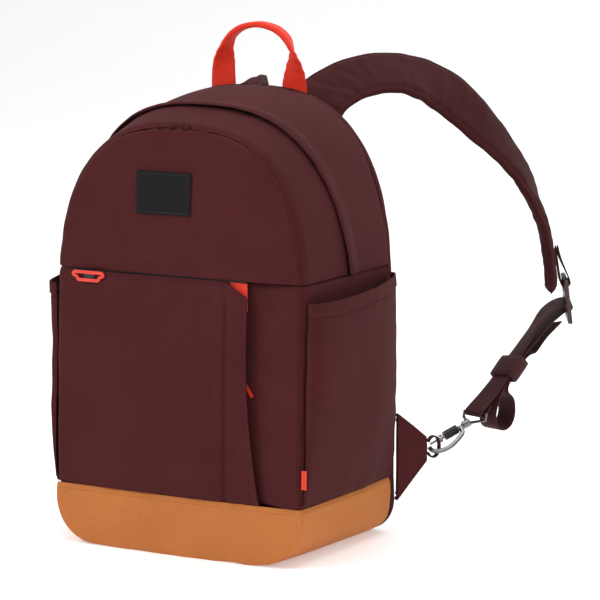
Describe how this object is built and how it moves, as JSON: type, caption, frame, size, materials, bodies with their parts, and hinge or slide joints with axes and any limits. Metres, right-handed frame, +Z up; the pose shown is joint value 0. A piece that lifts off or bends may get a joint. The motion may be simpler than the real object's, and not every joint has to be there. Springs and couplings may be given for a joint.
{
  "type": "travel backpack",
  "caption": "Clamshell travel daypack with a contrast base, front and side pockets, folded haul handle, curved shoulder straps and a snap hook on the right strap webbing.",
  "frame": {"origin": "middle of the flat base, on the ground", "axes": "+Z up, the front panel faces -Y, the back panel and the straps are at +Y, and +X is the wearer's right-hand side"},
  "size_m": [0.4141, 0.3666, 0.4556],
  "materials": {
    "shell_fabric": "coarse plain weave, matt",
    "boot_fabric": "coarse plain weave, matt",
    "air_mesh": "soft spacer mesh",
    "stiffener_board": "thin smooth sheet",
    "lining_fabric": "plain weave lining",
    "zip_tape": "coil zip tape",
    "patch_fabric": "dense weave, stitched edge",
    "accent_orange": "ribbed webbing and coated pulls",
    "slider_zinc": "dark plated die casting",
    "buckle_plastic": "fine moulded texture",
    "webbing": "ribbed narrow webbing",
    "hook_steel": "polished wire",
    "hook_dark_steel": "dark plated"
  },
  "bodies": {
    "bag": {"back_board": "stiffener_board", "back_pad_left": "air_mesh", "back_pad_right": "air_mesh", "back_panel": "shell_fabric", "base_board": "stiffener_board", "boot_front": "boot_fabric", "boot_gusset": "boot_fabric", "buckle_tab_left": "webbing", "buckle_tab_right": "webbing", "corner_tab": "accent_orange", "front_pocket_divider": "lining_fabric", "front_pocket_panel": "shell_fabric", "front_zip_ledge": "lining_fabric", "front_zip_tape_lower": "zip_tape", "gusset_rear": "shell_fabric", "handle_foot_left": "accent_orange", "handle_foot_right": "accent_orange", "hook_swivel_ring": "hook_steel", "ladder_lock_left": "buckle_plastic", "ladder_lock_right": "buckle_plastic", "laptop_sleeve": "lining_fabric", "main_zip_tape_rear": "zip_tape", "side_panel_left": "shell_fabric", "side_panel_right": "shell_fabric", "side_pocket_left": "shell_fabric", "side_pocket_right": "shell_fabric", "slash_end_tab": "accent_orange", "slash_facing": "shell_fabric", "slash_lining": "lining_fabric", "slash_zip_tape": "zip_tape", "strap_pad_left": "shell_fabric", "strap_pad_right": "shell_fabric", "strap_webbing_left": "webbing", "strap_webbing_right": "webbing", "wing_left": "shell_fabric", "wing_loop_right": "webbing", "wing_right": "shell_fabric"},
    "flap": {"flap_front_panel": "shell_fabric", "flap_gusset": "shell_fabric", "main_zip_tape_flap": "zip_tape", "front_patch": "patch_fabric"},
    "main_slider_top": {"main_slider_upper": "slider_zinc"},
    "main_slider_bottom": {"main_slider_lower": "slider_zinc"},
    "main_pull_top": {"main_pull_upper": "accent_orange"},
    "main_pull_bottom": {"main_pull_lower": "accent_orange"},
    "front_zip_slider": {"front_slider": "slider_zinc"},
    "ring_pull": {"front_zip_ring": "accent_orange"},
    "slash_zip_slider": {"slash_slider": "slider_zinc"},
    "slash_zip_pull": {"slash_pull": "accent_orange"},
    "handle": {"haul_handle": "accent_orange"},
    "keeper": {"webbing_keeper_right": "shell_fabric"},
    "hook": {"hook_body": "hook_steel", "hook_gate_pin": "hook_dark_steel"},
    "gate": {"hook_gate": "hook_dark_steel"},
    "lock_sleeve": {"hook_lock_sleeve": "hook_dark_steel"}
  },
  "joints": [
    {"name": "flap_fold", "type": "hinge", "parent": "bag", "child": "flap", "pos_m": [0, -0.086, 0.2415], "axis": [1, 0, 0], "range_deg": [0, 85]},
    {"name": "main_slider_top_slide", "type": "slide", "parent": "bag", "child": "main_slider_top", "axis": [0.2179, -0.1822, 0.9588], "range_m": [0, 0.006]},
    {"name": "main_slider_bottom_slide", "type": "slide", "parent": "bag", "child": "main_slider_bottom", "axis": [0.0944, -0.1858, 0.978], "range_m": [-0.006, 0]},
    {"name": "main_pull_top_swing", "type": "hinge", "parent": "main_slider_top", "child": "main_pull_top", "pos_m": [-0.124, -0.00541, 0.29367], "axis": [0, 0.9824, 0.1867], "range_deg": [0, 90]},
    {"name": "main_pull_bottom_swing", "type": "hinge", "parent": "main_slider_bottom", "child": "main_pull_bottom", "pos_m": [-0.12928, 0.00036, 0.26331], "axis": [0, 0.9824, 0.1867], "range_deg": [0, 90]},
    {"name": "front_slider_slide", "type": "slide", "parent": "bag", "child": "front_zip_slider", "axis": [1, 0, 0], "range_m": [-0.004, 0.011]},
    {"name": "ring_pull_lift", "type": "hinge", "parent": "front_zip_slider", "child": "ring_pull", "pos_m": [-0.085, -0.07758, 0.23945], "axis": [-1, 0, 0], "range_deg": [0, 72]},
    {"name": "slash_slider_slide", "type": "slide", "parent": "bag", "child": "slash_zip_slider", "axis": [0, 0.033, 0.9995], "range_m": [-0.03, 0.03]},
    {"name": "slash_pull_swing", "type": "hinge", "parent": "slash_zip_slider", "child": "slash_zip_pull", "pos_m": [0.06178, -0.07205, 0.15896], "axis": [0, 1, 0], "range_deg": [-10, 25]},
    {"name": "handle_fold", "type": "hinge", "parent": "bag", "child": "handle", "pos_m": [0, 0.07394, 0.394], "axis": [1, 0, 0], "range_deg": [-30, 55], "stiffness_Nm_per_rad": 0.03},
    {"name": "keeper_slide", "type": "slide", "parent": "bag", "child": "keeper", "axis": [0.2264, 0.72, 0.6561], "range_m": [-0.006, 0.002]},
    {"name": "hook_swivel", "type": "hinge", "parent": "bag", "child": "hook", "pos_m": [0.15447, 0.12805, 0.07902], "axis": [0.5848, 0.7018, 0.4067], "range_deg": [-2, 0.6]},
    {"name": "hook_gate_open", "type": "hinge", "parent": "hook", "child": "gate", "pos_m": [0.15424, 0.12777, 0.07886], "axis": [0.2, -0.6107, 0.7662], "range_deg": [0, 18], "stiffness_Nm_per_rad": 0.005},
    {"name": "lock_sleeve_turn", "type": "hinge", "parent": "hook", "child": "lock_sleeve", "pos_m": [0.15447, 0.12805, 0.07902], "axis": [0.5848, 0.7018, 0.4067], "range_deg": [0, 90]}
  ]
}
